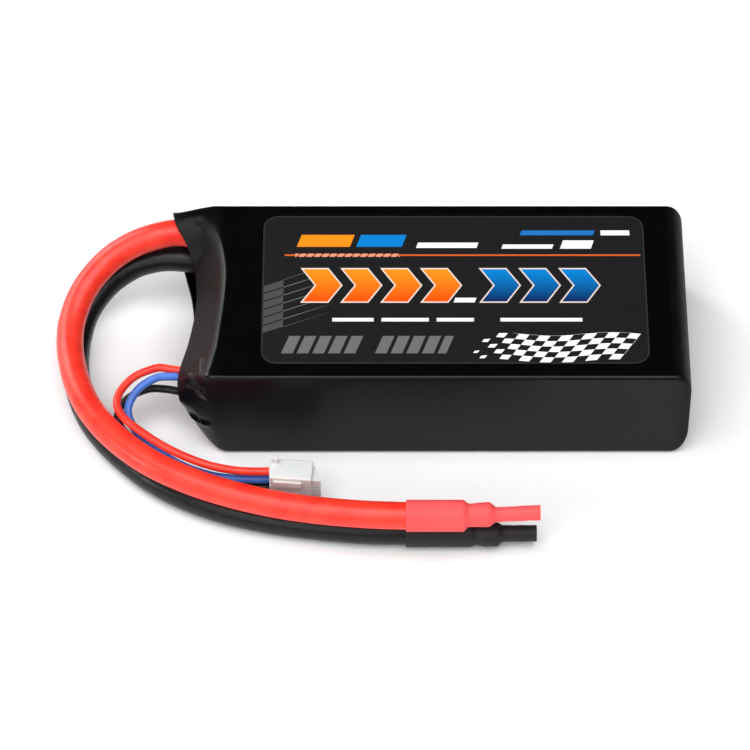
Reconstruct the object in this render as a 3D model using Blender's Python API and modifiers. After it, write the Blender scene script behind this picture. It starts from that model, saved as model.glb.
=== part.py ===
"""Two-cell lithium-polymer pack for a remote control model.

A shrink-wrapped brick of two pouch cells between stiffener boards.  At its -X end the wrap
tapers into an open mouth with two spouts: the rear one lets out the two power leads, the front
one the three balance wires.  The power leads end in heat-shrink sleeves that pull off along +X,
the balance wires in a three-way plug.  The wrap stands on Z = 0, centred on the origin.
Sizes are in millimetres and become metres where meshes are made.
"""
import math

import bmesh
import bpy
from mathutils import Matrix, Vector

MM = 0.001
COLLECTION = "lipo_battery_pack"
CUTTERS = "cutters"

# Fits
GAP = 0.3                    # between pieces that rest on each other
SLIDE_GAP = 0.1              # end sleeve to lead, all round

# Cells and what is stacked with them
CELL_LENGTH = 86.0
CELL_WIDTH = 44.6
CELL_THICKNESS = 9.45
CELL_EDGE = 0.9              # rounding of a pouch's edges
STIFFENER_THICKNESS = 0.8
TAPE_THICKNESS = 0.4
TAPE_MARGIN = 3.0
REAR_FOAM_THICKNESS = 1.8
WRAP_WALL = 0.4
SPOUT_REACH = 16.0           # front of the cells to the tip of the spouts

# Front end: terraces, tabs and terminal board
TERRACE_LENGTH = 3.2
TERRACE_THICKNESS = 0.9
TERRACE_INSET = 0.35         # from the cell's face that meets the other cell
TAB_THICKNESS = 0.3
TAB_WIDTH = 9.0
TAB_OFFSET = 6.5             # of a tab's middle from the pack's middle
TAB_LEG = 4.2                # soldered leg, up or down the board
BOARD_SETBACK = 5.0          # front of the cells to the board's inner face
BOARD_THICKNESS = 1.0
BOARD_MARGIN_SIDE = 2.6
BOARD_MARGIN_BOTTOM = 3.3
BOARD_CLEARANCE = 0.48       # board's top edge to the wrap's slope above it
LINK_WIDTH = 8.0
LINK_THICKNESS = 0.3
LINK_LENGTH = 10.5
LINK_CLEARANCE = 0.75        # red balance joint to the link strip

# Wrap
WRAP_EDGE = 0.8              # rounding of the long edges
REAR_ROUND = 3.4             # rounding of the folded end
REAR_LIP = 3.5               # how far the fold runs in over the end
CREASE_SETBACK = 5.9         # front of the cells to the crease, mid height
MOUTH_STEPS = 5              # sections from the crease to the lip
ACROSS_STEPS = 10            # facets across the top and the bottom
SIDE_STEPS = 6               # facets up each side

# Label
LABEL_LENGTH = 77.0
LABEL_WIDTH = 39.0
LABEL_CORNER = 3.0
LABEL_THICKNESS = 0.2
LABEL_LIFT = 0.15
LABEL_FROM_REAR = 8.3        # closed end of the wrap to the label's edge

# Power leads and end sleeves
LEAD_DIAMETER = 5.5
CONDUCTOR_DIAMETER = 3.6
SLEEVE_WALL = 0.3
SLEEVE_START_X = -4.2
SLEEVE_SIZES = {             # length, and start to the end of the widest part
    "red": (26.3, 11.2),
    "black": (25.8, 12.8),
}
SLEEVE_SIDES = 20
NECK_DIAMETER = 4.9
NECK_LENGTH = 0.8
BUMP_DIAMETER = 5.3
TAIL_DIAMETER = 3.1
BUMP_LENGTH = 4.5
TAPER_LENGTH = 1.4
CONDUCTOR_EDGE = 0.2
POWER_JOINT_RADIUS = 2.5
POWER_JOINT_LENGTH = 1.8
SOLID_SIDES = 16

# Balance wires and plug
WIRE_DIAMETER = 1.65
BALANCE_JOINT_RADIUS = 0.95
BALANCE_JOINT_LENGTH = 0.9
PLUG_PITCH = 2.5
PLUG_END_MARGIN = 2.1        # outer way's middle to the housing's side
PLUG_THICKNESS = 5.0
PLUG_BODY_LENGTH = 8.4
PLUG_NOSE_LENGTH = 1.4
PLUG_NOSE_WIDTH = 1.9
PLUG_NOSE_THICKNESS = 3.8
PLUG_EAR_HEIGHT = 1.2
PLUG_EAR_LENGTH = 1.2
PLUG_EAR_THICKNESS = 1.4
PLUG_RIB_LENGTH = 5.6
PLUG_RIB_WIDTH = 1.7
PLUG_RIB_HEIGHT = 0.4
PLUG_RIB_START = 0.8
PLUG_RIB_INSET = 0.9         # from the housing's side
PLUG_CAVITY = 1.8
PLUG_CAVITY_OFFSET = 0.7     # cavities sit off the middle, towards the back wall
PLUG_SCALLOP_RADIUS = 1.1    # round notch across the wire end, one for each wire
PLUG_SCALLOP_DEPTH = 0.45
PLUG_YAW = math.radians(-4.8)
PLUG_POSITION = Vector((-31.0, -35.1, 0.0))
CONTACT_LENGTH = 7.6

# Worked out from the sizes above
PACK_WIDTH = CELL_WIDTH + 2 * (WRAP_WALL + GAP)
HALF_WIDTH = PACK_WIDTH / 2
REAR_STACK = WRAP_WALL + GAP + REAR_FOAM_THICKNESS + GAP
PACK_LENGTH = SPOUT_REACH + CELL_LENGTH + REAR_STACK
REAR_X = PACK_LENGTH / 2
CELL_REAR_X = REAR_X - REAR_STACK
CELL_FRONT_X = CELL_REAR_X - CELL_LENGTH
LOWER_STIFFENER_Z = WRAP_WALL + GAP
LOWER_CELL_Z = LOWER_STIFFENER_Z + STIFFENER_THICKNESS + GAP
TAPE_Z = LOWER_CELL_Z + CELL_THICKNESS + GAP
UPPER_CELL_Z = TAPE_Z + TAPE_THICKNESS + GAP
UPPER_STIFFENER_Z = UPPER_CELL_Z + CELL_THICKNESS + GAP
PACK_HEIGHT = UPPER_STIFFENER_Z + STIFFENER_THICKNESS + GAP + WRAP_WALL
BOARD_BACK_X = CELL_FRONT_X - BOARD_SETBACK
BOARD_FRONT_X = BOARD_BACK_X - BOARD_THICKNESS
JOINT_X = BOARD_FRONT_X - GAP
LOWER_TERRACE_Z = TAPE_Z - GAP - TERRACE_INSET - TERRACE_THICKNESS
UPPER_TERRACE_Z = UPPER_CELL_Z + TERRACE_INSET
SLEEVE_DIAMETER = LEAD_DIAMETER + 2 * (SLIDE_GAP + SLEEVE_WALL)
PLUG_WIDTH = 2 * (PLUG_PITCH + PLUG_END_MARGIN)
CONDUCTOR_LENGTH = NECK_LENGTH + BUMP_LENGTH - 2 * GAP

# Where the leads and wires are soldered: distance in from the wrap's side, and height
POWER_JOINTS = {
    "red": (HALF_WIDTH - 4.4, PACK_HEIGHT - 5.3),
    "black": (HALF_WIDTH - 5.8, PACK_HEIGHT - 11.4),
}
BALANCE_JOINTS = {
    "red": (11.8 - HALF_WIDTH, PACK_HEIGHT - 11.3),
    "blue": (9.4 - HALF_WIDTH, PACK_HEIGHT - 10.7),
    "black": (7.0 - HALF_WIDTH, PACK_HEIGHT - 12.3),
}

# Routes, from the terminal board outwards.  The power leads run round one above the other,
# and their last point ends a straight stretch along X inside the end sleeve.
POWER_ROUTES = {
    "red": (
        (-45.1, 18.6, 18.2), (-50.0, 19.1, 19.2), (-54.6, 18.5, 18.9), (-60.0, 17.4, 17.2),
        (-65.0, 15.0, 14.8), (-69.4, 10.4, 12.0), (-71.7, 4.6, 9.9), (-72.2, -1.0, 8.9),
        (-71.5, -6.8, 8.6), (-69.9, -13.0, 8.6), (-67.0, -19.4, 8.6), (-62.3, -25.8, 8.6),
        (-55.5, -32.0, 8.6), (-48.0, -36.5, 8.6), (-40.0, -39.9, 8.6), (-31.0, -42.6, 8.6),
        (-22.0, -44.5, 8.8), (-12.5, -46.0, 9.4), (-5.0, -46.6, 9.7), (6.7, -46.6, 9.7),
    ),
    "black": (
        (-45.1, 17.2, 12.1), (-49.6, 17.7, 12.8), (-54.6, 18.1, 12.3), (-60.2, 17.5, 10.5),
        (-65.6, 14.6, 7.9), (-69.4, 9.6, 5.4), (-71.0, 3.6, 3.7), (-71.3, -2.0, 2.9),
        (-70.6, -7.5, 2.8), (-68.9, -13.5, 2.8), (-65.9, -19.6, 2.8), (-61.3, -25.6, 2.8),
        (-54.9, -31.8, 2.8), (-47.8, -36.4, 2.8), (-40.0, -39.8, 2.8), (-31.0, -42.3, 2.8),
        (-22.0, -43.9, 2.9), (-12.5, -45.1, 3.1), (-5.0, -45.4, 3.2), (8.3, -45.4, 3.2),
    ),
}
BALANCE_ROUTES = {
    "red": (
        (-44.0, -11.2, 12.2), (-46.5, -11.4, 12.4), (-49.2, -11.8, 12.4), (-51.7, -11.3, 12.3),
        (-54.2, -11.0, 12.2), (-58.5, -12.8, 11.7), (-61.2, -16.0, 11.2), (-61.9, -19.2, 10.9),
        (-60.7, -22.2, 10.7), (-58.1, -24.9, 10.5), (-53.7, -28.5, 10.3), (-48.9, -31.4, 9.9),
        (-43.4, -33.4, 9.1), (-38.6, -34.2, 8.5), (-35.0, -34.4, 8.3), (-31.3, -34.4, 8.3),
    ),
    "blue": (
        (-44.0, -13.6, 12.8), (-46.5, -13.8, 13.0), (-49.0, -13.9, 12.9), (-51.7, -13.4, 12.4),
        (-54.4, -13.0, 11.4), (-57.9, -14.7, 9.9), (-59.8, -18.0, 8.1), (-59.0, -21.2, 6.9),
        (-57.0, -24.0, 6.3), (-53.4, -27.5, 5.9), (-48.7, -30.9, 5.8), (-43.2, -33.3, 5.8),
        (-38.6, -34.2, 5.8), (-35.0, -34.4, 5.8), (-31.3, -34.4, 5.8),
    ),
    "black": (
        (-44.0, -16.0, 11.2), (-46.5, -16.1, 11.0), (-49.0, -15.8, 10.6), (-52.4, -14.4, 9.7),
        (-55.6, -13.5, 8.7), (-58.7, -14.2, 7.8), (-61.1, -16.2, 7.1), (-61.9, -18.8, 6.5),
        (-61.2, -21.2, 5.7), (-59.3, -22.9, 4.9), (-57.2, -24.4, 4.2), (-53.6, -27.1, 3.5),
        (-48.7, -30.5, 3.3), (-43.2, -33.1, 3.3), (-38.6, -34.2, 3.3), (-35.0, -34.4, 3.3),
        (-31.3, -34.4, 3.3),
    ),
}

# Lip of the wrap's mouth, once round from the top middle towards the rear side (+Y).
# Each row: run round the body as a fraction of its outline, reach from the front of the cells,
# then Y and Z as fractions of the half width and of the height.
LIP = (
    (0.000, 10.3, 0.000, 0.664), (0.043, 10.0, 0.217, 0.681), (0.086, 10.7, 0.478, 0.736),
    (0.115, 12.4, 0.643, 0.862), (0.144, 14.9, 0.774, 0.968), (0.1655, 16.0, 0.896, 0.985),
    (0.194, 15.6, 0.978, 0.900), (0.250, 14.5, 0.978, 0.680), (0.302, 14.0, 0.930, 0.480),
    (0.3345, 13.6, 0.840, 0.405), (0.374, 12.6, 0.652, 0.390), (0.432, 11.2, 0.370, 0.383),
    (0.500, 10.6, 0.000, 0.374), (0.576, 11.2, -0.348, 0.366), (0.633, 12.5, -0.591, 0.362),
    (0.6655, 12.6, -0.722, 0.374), (0.705, 12.7, -0.800, 0.434), (0.750, 13.2, -0.826, 0.506),
    (0.791, 13.7, -0.778, 0.585), (0.8345, 13.8, -0.678, 0.624), (0.878, 12.9, -0.530, 0.634),
    (0.935, 11.4, -0.304, 0.647),
)
# Crease where the flat top meets the taper: Y as a fraction of the half width, and setback
CREASE = ((-1.0, 7.3), (-0.63, 5.7), (0.22, 4.8), (1.0, 6.5))

# Top edge of the terminal board, under the wrap where its slope has come down the furthest
NEAREST_CREASE = min(setback for _, setback in CREASE)
SLOPE_RUN = BOARD_SETBACK + BOARD_THICKNESS - NEAREST_CREASE
SLOPE = (1 - LIP[0][3]) * PACK_HEIGHT / (LIP[0][1] - NEAREST_CREASE)
BOARD_TOP_Z = PACK_HEIGHT - WRAP_WALL - BOARD_CLEARANCE - SLOPE_RUN * SLOPE

RED = (0.80, 0.03, 0.015, 1.0)
BLACK = (0.012, 0.012, 0.013, 1.0)
BLUE = (0.05, 0.15, 0.60, 1.0)
MATERIALS = {
    # name: colour, roughness, metallic
    "wrap_black": ((0.016, 0.016, 0.017, 1.0), 0.28, 0.0),
    "label_print": ((0.03, 0.03, 0.032, 1.0), 0.35, 0.0),
    "stiffener_board": ((0.62, 0.58, 0.40, 1.0), 0.55, 0.0),
    "pouch_foil": ((0.70, 0.71, 0.73, 1.0), 0.32, 1.0),
    "bonding_tape": ((0.85, 0.84, 0.78, 1.0), 0.60, 0.0),
    "aluminium_tab": ((0.80, 0.80, 0.82, 1.0), 0.35, 1.0),
    "nickel_tab": ((0.66, 0.64, 0.60, 1.0), 0.30, 1.0),
    "board_green": ((0.02, 0.16, 0.06, 1.0), 0.40, 0.0),
    "foam_black": ((0.03, 0.03, 0.03, 1.0), 0.95, 0.0),
    "solder": ((0.62, 0.63, 0.65, 1.0), 0.25, 1.0),
    "red_silicone": (RED, 0.38, 0.0),
    "black_silicone": (BLACK, 0.40, 0.0),
    "blue_silicone": (BLUE, 0.38, 0.0),
    "tinned_copper": ((0.72, 0.66, 0.58, 1.0), 0.35, 1.0),
    "red_shrink": ((0.90, 0.12, 0.12, 1.0), 0.55, 0.0),
    "black_shrink": ((0.02, 0.02, 0.021, 1.0), 0.55, 0.0),
    "plug_nylon": ((0.86, 0.86, 0.84, 1.0), 0.42, 0.0),
    "contact_tin": ((0.74, 0.70, 0.62, 1.0), 0.30, 1.0),
}


# ---------------------------------------------------------------- scene helpers

def clear_scene():
    for thing in list(bpy.data.objects):
        bpy.data.objects.remove(thing, do_unlink=True)


def collection(name):
    made = bpy.data.collections.new(name)
    bpy.context.scene.collection.children.link(made)
    return made


def material(name):
    found = bpy.data.materials.get(name)
    if found:
        return found
    colour, roughness, metallic = MATERIALS[name]
    made = bpy.data.materials.new(name)
    made.use_nodes = True
    shader = made.node_tree.nodes["Principled BSDF"]
    shader.inputs["Base Color"].default_value = colour
    shader.inputs["Roughness"].default_value = roughness
    shader.inputs["Metallic"].default_value = metallic
    made.diffuse_color = colour
    return made


def add_object(name, data, surface, group=COLLECTION):
    thing = bpy.data.objects.new(name, data)
    bpy.data.collections[group].objects.link(thing)
    if surface:
        data.materials.append(material(surface))
    return thing


def mesh_from(name, bm):
    bmesh.ops.recalc_face_normals(bm, faces=bm.faces)
    mesh = bpy.data.meshes.new(name)
    bm.to_mesh(mesh)
    bm.free()
    return mesh


def smooth(thing, angle=math.radians(35)):
    thing.data.shade_smooth()
    thing.data.set_sharp_from_angle(angle=angle)


# ---------------------------------------------------------------- shape helpers

def box_mesh(name, low, high):
    """Box between two corners given in millimetres."""
    low = Vector(low) * MM
    high = Vector(high) * MM
    size = high - low
    place = Matrix.Translation((low + high) / 2) @ Matrix.Diagonal((*size, 1.0))
    bm = bmesh.new()
    bmesh.ops.create_cube(bm, size=1.0, matrix=place)
    return mesh_from(name, bm)


def bevel(thing, width, segments=2):
    edge = thing.modifiers.new("rounded edges", "BEVEL")
    edge.width = width * MM
    edge.segments = segments
    edge.limit_method = "ANGLE"


def box(name, low, high, surface, rounding=0.0, segments=2):
    thing = add_object(name, box_mesh(name, low, high), surface)
    if rounding:
        bevel(thing, rounding, segments)
    return thing


def flat_outline(name, points, thickness, surface):
    """Flat plate with a closed outline in its local XY, centred on its thickness."""
    curve = bpy.data.curves.new(name, "CURVE")
    curve.dimensions = "2D"
    curve.fill_mode = "BOTH"
    curve.extrude = thickness / 2 * MM
    spline = curve.splines.new("POLY")
    spline.points.add(len(points) - 1)
    for point, (x, y) in zip(spline.points, points):
        point.co = (x * MM, y * MM, 0.0, 1.0)
    spline.use_cyclic_u = True
    return add_object(name, curve, surface)


def rounded_rectangle(half_x, half_y, radius, steps):
    """Outline of a rectangle with round corners, anticlockwise."""
    points = []
    for corner, (sign_x, sign_y) in enumerate(((1, 1), (-1, 1), (-1, -1), (1, -1))):
        for step in range(steps + 1):
            angle = math.pi / 2 * (corner + step / steps)
            points.append((
                sign_x * (half_x - radius) + radius * math.cos(angle),
                sign_y * (half_y - radius) + radius * math.sin(angle),
            ))
    return points


def turned(name, profile, surface, steps, hollow=False):
    """Profile of (radius, height) turned about local Z; a hollow one's profile is closed."""
    bm = bmesh.new()
    corners = [bm.verts.new((radius * MM, 0.0, height * MM)) for radius, height in profile]
    following = corners[1:] + corners[:1] if hollow else corners[1:]
    for first, second in zip(corners, following):
        bm.edges.new((first, second))
    mesh = bpy.data.meshes.new(name)
    bm.to_mesh(mesh)
    bm.free()
    thing = add_object(name, mesh, surface)
    screw = thing.modifiers.new("turned", "SCREW")
    screw.axis = "Z"
    screw.steps = steps
    screw.render_steps = steps
    screw.use_merge_vertices = True
    screw.merge_threshold = 0.00001
    return thing


def spline_value(before, start, end, after, part):
    """Catmull-Rom value a part of the way from start to end."""
    return 0.5 * (
        2 * start + (end - before) * part
        + (2 * before - 5 * start + 4 * end - after) * part ** 2
        + (3 * start - before - 3 * end + after) * part ** 3
    )


def smooth_route(points, spacing):
    """Points about a spacing apart on a smooth curve through the route's own points."""
    knots = [Vector(point) for point in points]
    knots = [2 * knots[0] - knots[1]] + knots + [2 * knots[-1] - knots[-2]]
    fine = []
    for index in range(1, len(knots) - 2):
        for step in range(12):
            fine.append(spline_value(*knots[index - 1:index + 3], step / 12))
    fine.append(knots[-2])
    lengths = [0.0]
    for first, second in zip(fine, fine[1:]):
        lengths.append(lengths[-1] + (second - first).length)
    count = max(2, round(lengths[-1] / spacing))
    chosen = []
    index = 0
    for step in range(count + 1):
        target = lengths[-1] * step / count
        while index < len(fine) - 2 and lengths[index + 1] < target:
            index += 1
        part = (target - lengths[index]) / (lengths[index + 1] - lengths[index])
        chosen.append(fine[index].lerp(fine[index + 1], part))
    return chosen


def tube(name, points, diameter, surface, resolution):
    curve = bpy.data.curves.new(name, "CURVE")
    curve.dimensions = "3D"
    curve.bevel_depth = diameter / 2 * MM
    curve.bevel_resolution = resolution
    curve.use_fill_caps = True
    spline = curve.splines.new("POLY")
    spline.points.add(len(points) - 1)
    for point, place in zip(spline.points, points):
        point.co = (*(Vector(place) * MM), 1.0)
    return add_object(name, curve, surface)


def cut(thing, cutters):
    for cutter in cutters:
        cutter.hide_render = True
        cutter.display_type = "WIRE"
        boolean = thing.modifiers.new("cut " + cutter.name, "BOOLEAN")
        boolean.operation = "DIFFERENCE"
        boolean.object = cutter


def join(thing, additions):
    for addition in additions:
        addition.hide_render = True
        addition.display_type = "WIRE"
        boolean = thing.modifiers.new("join " + addition.name, "BOOLEAN")
        boolean.operation = "UNION"
        boolean.object = addition


def helper_box(name, low, high):
    return add_object(name, box_mesh(name, low, high), None, CUTTERS)


# ---------------------------------------------------------------- wrap

def body_outline(inset=0.0):
    """Body section as (run, y, z), once round from the top middle towards +Y."""
    half_y = HALF_WIDTH - inset
    half_z = PACK_HEIGHT / 2 - inset
    radius = min(max(WRAP_EDGE, inset), half_z - GAP)
    half_steps = ACROSS_STEPS // 2
    places = [(half_y - radius) * step / half_steps for step in range(half_steps)]
    outline = [(y, half_z) for y in places]
    outline += corner_arc(half_y, half_z, radius, 1, 1)
    outline += straight((half_y, half_z - radius), (half_y, radius - half_z), SIDE_STEPS)
    outline += corner_arc(half_y, half_z, radius, 1, -1)
    outline += straight((half_y - radius, -half_z), (radius - half_y, -half_z), ACROSS_STEPS)
    outline += corner_arc(half_y, half_z, radius, -1, -1)
    outline += straight((-half_y, radius - half_z), (-half_y, half_z - radius), SIDE_STEPS)
    outline += corner_arc(half_y, half_z, radius, -1, 1)
    outline += [(-y, half_z) for y in reversed(places[1:])]
    around = 0.0
    runs = []
    for first, second in zip(outline, outline[1:] + outline[:1]):
        runs.append(around)
        around += math.dist(first, second)
    middle = PACK_HEIGHT / 2
    return [(run / around, y, z + middle) for run, (y, z) in zip(runs, outline)]


def corner_arc(half_y, half_z, radius, sign_y, sign_z, steps=3):
    """Rounded corner of the body section, in the order of the outline."""
    arc = []
    for step in range(steps + 1):
        angle = math.pi / 2 * step / steps
        along = (math.sin(angle), math.cos(angle))
        if sign_y * sign_z < 0:
            along = (math.cos(angle), math.sin(angle))
        y = sign_y * (half_y - radius + radius * along[0])
        z = sign_z * (half_z - radius + radius * along[1])
        arc.append((y, z))
    return arc


def straight(first, second, steps):
    """Points between two ends, without the ends."""
    return [
        tuple(a + (b - a) * step / steps for a, b in zip(first, second))
        for step in range(1, steps)
    ]


def lip_point(run):
    """Point of the mouth's lip that belongs to a run round the body."""
    count = len(LIP)
    index = max(row for row in range(count) if LIP[row][0] <= run + 1e-9)
    start = LIP[index][0]
    end = LIP[index + 1][0] if index + 1 < count else 1.0
    part = (run - start) / (end - start)
    rows = [LIP[(index + offset) % count] for offset in (-1, 0, 1, 2)]
    reach, y, z = (spline_value(*(row[item] for row in rows), part) for item in (1, 2, 3))
    reach = min(reach, SPOUT_REACH)
    return Vector((CELL_FRONT_X - reach, y * HALF_WIDTH, z * PACK_HEIGHT))


def crease_setback(y, z):
    """Setback of the crease: curved across the top, plain below."""
    across = y / HALF_WIDTH
    rows = [CREASE[0]] + list(CREASE) + [CREASE[-1]]
    index = max(row for row in range(1, 4) if rows[row][0] <= across or row == 1)
    part = (across - rows[index][0]) / (rows[index + 1][0] - rows[index][0])
    part = min(max(part, 0.0), 1.0)
    top = spline_value(*(row[1] for row in rows[index - 1:index + 3]), part)
    height = z / PACK_HEIGHT
    bottom = CREASE_SETBACK - 1.8
    return bottom + (top - bottom) * height


def wrap_rings():
    """Sections from the window in the folded end to the lip of the mouth."""
    rings = []
    fold_inset = REAR_ROUND + REAR_LIP
    rings.append([(REAR_X, y, z) for _, y, z in body_outline(fold_inset)])
    fold_steps = 4
    for step in range(fold_steps + 1):
        angle = math.pi / 2 * step / fold_steps
        inset = REAR_ROUND * (1 - math.sin(angle))
        x = REAR_X - REAR_ROUND * (1 - math.cos(angle))
        rings.append([(x, y, z) for _, y, z in body_outline(inset)])
    outline = body_outline()
    crease = []
    for _, y, z in outline:
        crease.append(Vector((CELL_FRONT_X - crease_setback(y, z), y, z)))
    rings.append(crease)
    for step in range(1, MOUTH_STEPS + 1):
        along = step / MOUTH_STEPS
        ring = []
        for (run, _, z), start in zip(outline, crease):
            lip = lip_point(run)
            fullness = 1.5 - 0.5 * z / PACK_HEIGHT
            inward = along ** fullness
            ring.append((
                start.x + (lip.x - start.x) * along,
                start.y + (lip.y - start.y) * inward,
                start.z + (lip.z - start.z) * inward,
            ))
        rings.append(ring)
    return rings


def make_wrap():
    bm = bmesh.new()
    rings = [[bm.verts.new(Vector(place) * MM) for place in ring] for ring in wrap_rings()]
    for ring, following in zip(rings, rings[1:]):
        count = len(ring)
        for index in range(count):
            beside = (index + 1) % count
            bm.faces.new((ring[index], ring[beside], following[beside], following[index]))
    mesh = mesh_from("shrink_wrap", bm)
    wrap = add_object("shrink_wrap", mesh, "wrap_black")
    shell = wrap.modifiers.new("film", "SOLIDIFY")
    shell.thickness = WRAP_WALL * MM
    shell.offset = -1.0
    shell.use_even_offset = True
    smooth(wrap)


def make_label():
    outline = rounded_rectangle(LABEL_LENGTH / 2, LABEL_WIDTH / 2, LABEL_CORNER, 4)
    label = flat_outline("top_label", outline, LABEL_THICKNESS, "label_print")
    label.location = Vector((
        REAR_X - LABEL_FROM_REAR - LABEL_LENGTH / 2,
        0.0,
        PACK_HEIGHT + LABEL_LIFT + LABEL_THICKNESS / 2,
    )) * MM


# ---------------------------------------------------------------- cells and boards

def make_stack():
    half = CELL_WIDTH / 2
    for name, z in (("bottom", LOWER_STIFFENER_Z), ("top", UPPER_STIFFENER_Z)):
        box(
            name + "_stiffener_board",
            (CELL_FRONT_X, -half, z), (CELL_REAR_X, half, z + STIFFENER_THICKNESS),
            "stiffener_board", rounding=STIFFENER_THICKNESS / 3, segments=1,
        )
    box(
        "cell_bonding_tape",
        (CELL_FRONT_X + TAPE_MARGIN, TAPE_MARGIN - half, TAPE_Z),
        (CELL_REAR_X - TAPE_MARGIN, half - TAPE_MARGIN, TAPE_Z + TAPE_THICKNESS),
        "bonding_tape",
    )
    box(
        "rear_end_foam",
        (CELL_REAR_X + GAP, REAR_ROUND - half, REAR_ROUND + GAP),
        (REAR_X - WRAP_WALL - GAP, half - REAR_ROUND, PACK_HEIGHT - REAR_ROUND - GAP),
        "foam_black",
    )
    make_cell("lower_cell", LOWER_CELL_Z, LOWER_TERRACE_Z)
    make_cell("upper_cell", UPPER_CELL_Z, UPPER_TERRACE_Z)


def make_cell(name, z, terrace_z):
    """Pouch with a thin sealed terrace at its front."""
    half = CELL_WIDTH / 2
    low = (CELL_FRONT_X, -half, z)
    high = (CELL_REAR_X, half, z + CELL_THICKNESS)
    cell = box(name, low, high, "pouch_foil", rounding=CELL_EDGE, segments=3)
    terrace = helper_box(
        name + "_terrace",
        (CELL_FRONT_X - TERRACE_LENGTH, CELL_EDGE - half, terrace_z),
        (CELL_FRONT_X + CELL_EDGE * 2, half - CELL_EDGE, terrace_z + TERRACE_THICKNESS),
    )
    join(cell, [terrace])


def make_tab(name, side, terrace_z, upward, surface):
    """Tab that leaves a terrace and turns along the board's inner face."""
    front = BOARD_BACK_X + GAP
    back = CELL_FRONT_X - TERRACE_LENGTH - GAP
    z = terrace_z + (TERRACE_THICKNESS - TAB_THICKNESS) / 2
    far = z + TAB_LEG if upward else z + TAB_THICKNESS - TAB_LEG
    near = z if upward else z + TAB_THICKNESS
    inner = near + TAB_THICKNESS if upward else near - TAB_THICKNESS
    outline = [
        (front, near), (back, near), (back, inner),
        (front + TAB_THICKNESS, inner), (front + TAB_THICKNESS, far), (front, far),
    ]
    tab = flat_outline(name, outline, TAB_WIDTH, surface)
    tab.rotation_euler = (math.pi / 2, 0.0, 0.0)
    tab.location = (0.0, side * TAB_OFFSET * MM, 0.0)


def make_front():
    make_tab("upper_cell_positive_tab", 1, UPPER_TERRACE_Z, True, "aluminium_tab")
    make_tab("upper_cell_negative_tab", -1, UPPER_TERRACE_Z, True, "nickel_tab")
    make_tab("lower_cell_positive_tab", -1, LOWER_TERRACE_Z, False, "aluminium_tab")
    make_tab("lower_cell_negative_tab", 1, LOWER_TERRACE_Z, False, "nickel_tab")
    box(
        "terminal_board",
        (BOARD_FRONT_X, BOARD_MARGIN_SIDE - HALF_WIDTH, BOARD_MARGIN_BOTTOM),
        (BOARD_BACK_X, HALF_WIDTH - BOARD_MARGIN_SIDE, BOARD_TOP_Z),
        "board_green", rounding=BOARD_THICKNESS / 5, segments=1,
    )
    middle = PACK_HEIGHT / 2
    link_y = BALANCE_JOINTS["red"][0] + BALANCE_JOINT_RADIUS + LINK_CLEARANCE
    box(
        "series_link_strip",
        (JOINT_X - LINK_THICKNESS, link_y, middle - LINK_LENGTH / 2),
        (JOINT_X, link_y + LINK_WIDTH, middle + LINK_LENGTH / 2),
        "nickel_tab",
    )
    box(
        "front_spacer_foam",
        (CELL_FRONT_X - TERRACE_LENGTH, TAPE_MARGIN - CELL_WIDTH / 2,
         LOWER_TERRACE_Z + TERRACE_THICKNESS + GAP),
        (CELL_FRONT_X - GAP, CELL_WIDTH / 2 - TAPE_MARGIN, UPPER_TERRACE_Z - GAP),
        "foam_black",
    )


# ---------------------------------------------------------------- leads, wires and joints

def make_joint(name, place, radius, length):
    """Dome of solder on the board's outer face, pointing to -X."""
    profile = (
        (0.0, length), (radius * 0.72, length), (radius * 0.9, length * 0.6),
        (radius, length * 0.15), (radius, 0.0), (0.0, 0.0),
    )
    joint = turned(name, profile, "solder", SOLID_SIDES)
    joint.rotation_euler = (0.0, -math.pi / 2, 0.0)
    joint.location = Vector((JOINT_X, *place)) * MM
    smooth(joint)


def make_joints():
    for colour, place in POWER_JOINTS.items():
        make_joint(colour + "_solder_joint", place, POWER_JOINT_RADIUS, POWER_JOINT_LENGTH)
    for colour, place in BALANCE_JOINTS.items():
        make_joint(colour + "_balance_joint", place, BALANCE_JOINT_RADIUS, BALANCE_JOINT_LENGTH)


def make_power_lead(colour):
    route = POWER_ROUTES[colour]
    points = smooth_route(route[:-1], LEAD_DIAMETER * 1.5) + [Vector(route[-1])]
    tube(colour + "_power_lead", points, LEAD_DIAMETER, colour + "_silicone", 4)


def sleeve_profile(length, shoulder):
    """Closed profile of a shrunk end sleeve, its start at height 0."""
    neck = shoulder + NECK_LENGTH
    bump_end = neck + BUMP_LENGTH
    outer = [
        (SLEEVE_DIAMETER / 2, 0.0), (SLEEVE_DIAMETER / 2, shoulder),
        (NECK_DIAMETER / 2, neck), (BUMP_DIAMETER / 2, neck + BUMP_LENGTH * 0.3),
        (BUMP_DIAMETER / 2, neck + BUMP_LENGTH * 0.8), (NECK_DIAMETER / 2, bump_end),
        (TAIL_DIAMETER / 2, bump_end + TAPER_LENGTH), (TAIL_DIAMETER / 2, length),
    ]
    inner = [(radius - SLEEVE_WALL, height) for radius, height in outer]
    return list(reversed(outer)) + inner


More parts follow.
